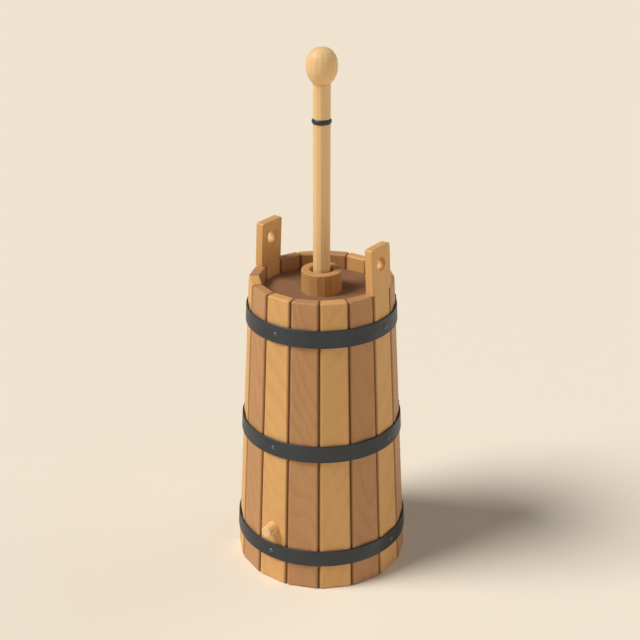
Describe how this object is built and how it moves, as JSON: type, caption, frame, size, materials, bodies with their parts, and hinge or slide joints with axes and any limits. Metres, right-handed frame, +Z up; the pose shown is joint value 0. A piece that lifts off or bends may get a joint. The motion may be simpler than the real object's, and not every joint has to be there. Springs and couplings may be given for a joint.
{
  "type": "dash butter churn",
  "caption": "Tapered stave-built dash churn with iron hoops, pierced ears, a recessed lid with a splash collar, a cross dasher on a long handle and a drain plug.",
  "frame": {"origin": "centre of the barrel's base, on the surface that it stands on", "axes": "+Z up along the barrel's axis and the dasher handle, +X through the right ear, -Y through the drain plug"},
  "size_m": [0.3016, 0.3159, 0.893],
  "materials": {
    "honey_stave": "planed, satin",
    "russet_stave": "planed, satin",
    "pale_wood": "shaved, satin",
    "collar_wood": "turned, satin",
    "lid_wood": "planed, matt",
    "head_wood": "planed, matt",
    "arm_wood": "planed, matt",
    "hoop_iron": "blackened, matt",
    "nail_iron": "worn, satin"
  },
  "bodies": {
    "barrel": {"ear_stave_right": "honey_stave", "stave_01": "russet_stave", "stave_02": "honey_stave", "stave_03": "russet_stave", "stave_04": "honey_stave", "stave_05": "russet_stave", "stave_06": "honey_stave", "stave_07": "russet_stave", "ear_stave_left": "honey_stave", "stave_09": "russet_stave", "stave_10": "honey_stave", "stave_11": "russet_stave", "drain_stave": "honey_stave", "stave_13": "russet_stave", "stave_14": "honey_stave", "stave_15": "russet_stave", "hoop_top": "hoop_iron", "hoop_middle": "hoop_iron", "hoop_bottom": "hoop_iron", "hoop_nails_top": "nail_iron", "hoop_nails_middle": "nail_iron", "hoop_nails_bottom": "nail_iron", "head_board_left": "head_wood", "head_board_middle": "head_wood", "head_board_right": "head_wood", "head_dowels": "pale_wood"},
    "lid": {"lid": "lid_wood", "splash_collar": "collar_wood"},
    "dasher": {"handle": "pale_wood", "knob": "pale_wood", "handle_ring": "hoop_iron", "dasher_arm_lower": "arm_wood", "dasher_arm_upper": "arm_wood", "handle_wedge": "pale_wood"},
    "drain_plug": {"drain_plug": "pale_wood"}
  },
  "joints": [
    {"name": "lid_lift", "type": "slide", "parent": "barrel", "child": "lid", "axis": [0, 0, 1], "range_m": [0, 0.6]},
    {"name": "dasher_stroke", "type": "slide", "parent": "lid", "child": "dasher", "axis": [0, 0, 1], "range_m": [0, 0.416]},
    {"name": "plug_pull", "type": "slide", "parent": "barrel", "child": "drain_plug", "axis": [0, -1, 0], "range_m": [0, 0.06]}
  ]
}
